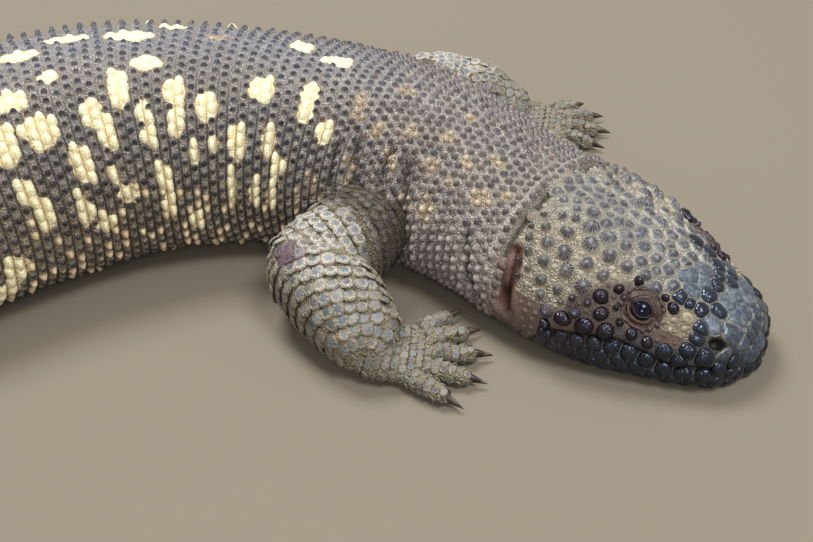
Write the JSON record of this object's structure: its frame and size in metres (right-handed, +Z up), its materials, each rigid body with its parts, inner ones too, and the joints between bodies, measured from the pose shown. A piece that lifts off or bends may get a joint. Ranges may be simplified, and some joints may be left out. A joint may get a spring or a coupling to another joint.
{
  "type": "mexican beaded lizard",
  "caption": "Still life-size beaded lizard lying on its belly, body curved and head turned aside, with bead-like scutes and short splayed legs.",
  "frame": {"origin": "on the floor beneath the shoulders, on the flat of the belly", "axes": "+X along the body towards the head, +Y towards the animal's left side, +Z up from the floor"},
  "size_m": [0.6124, 0.2464, 0.0581],
  "materials": {
    "skin": "dry beaded hide, grey brown with cream yellow blotches and dust",
    "head_plates": "glossy blue black horn plates",
    "eye": "wet dark brown eye",
    "claw": "dark horn, worn pale at the tips"
  },
  "bodies": {
    "root": {"head": "head_plates", "neck": "skin", "torso": "skin", "tail_base": "skin", "tail_middle": "skin", "tail_tip": "skin", "foreleg_right_upper": "skin", "foreleg_right_lower": "skin", "foreleg_right_foot": "skin", "foreleg_left_upper": "skin", "foreleg_left_lower": "skin", "foreleg_left_foot": "skin", "hind_leg_right_upper": "skin", "hind_leg_right_lower": "skin", "hind_leg_right_foot": "skin", "hind_leg_left_upper": "skin", "hind_leg_left_lower": "skin", "hind_leg_left_foot": "skin", "eye_left": "eye", "eye_right": "eye", "foreleg_right_claw_1": "claw", "foreleg_right_claw_2": "claw", "foreleg_right_claw_3": "claw", "foreleg_right_claw_4": "claw", "foreleg_right_claw_5": "claw", "foreleg_left_claw_1": "claw", "foreleg_left_claw_2": "claw", "foreleg_left_claw_3": "claw", "foreleg_left_claw_4": "claw", "foreleg_left_claw_5": "claw", "hind_leg_right_claw_1": "claw", "hind_leg_right_claw_2": "claw", "hind_leg_right_claw_3": "claw", "hind_leg_right_claw_4": "claw", "hind_leg_right_claw_5": "claw", "hind_leg_left_claw_1": "claw", "hind_leg_left_claw_2": "claw", "hind_leg_left_claw_3": "claw", "hind_leg_left_claw_4": "claw", "hind_leg_left_claw_5": "claw"}
  },
  "joints": []
}
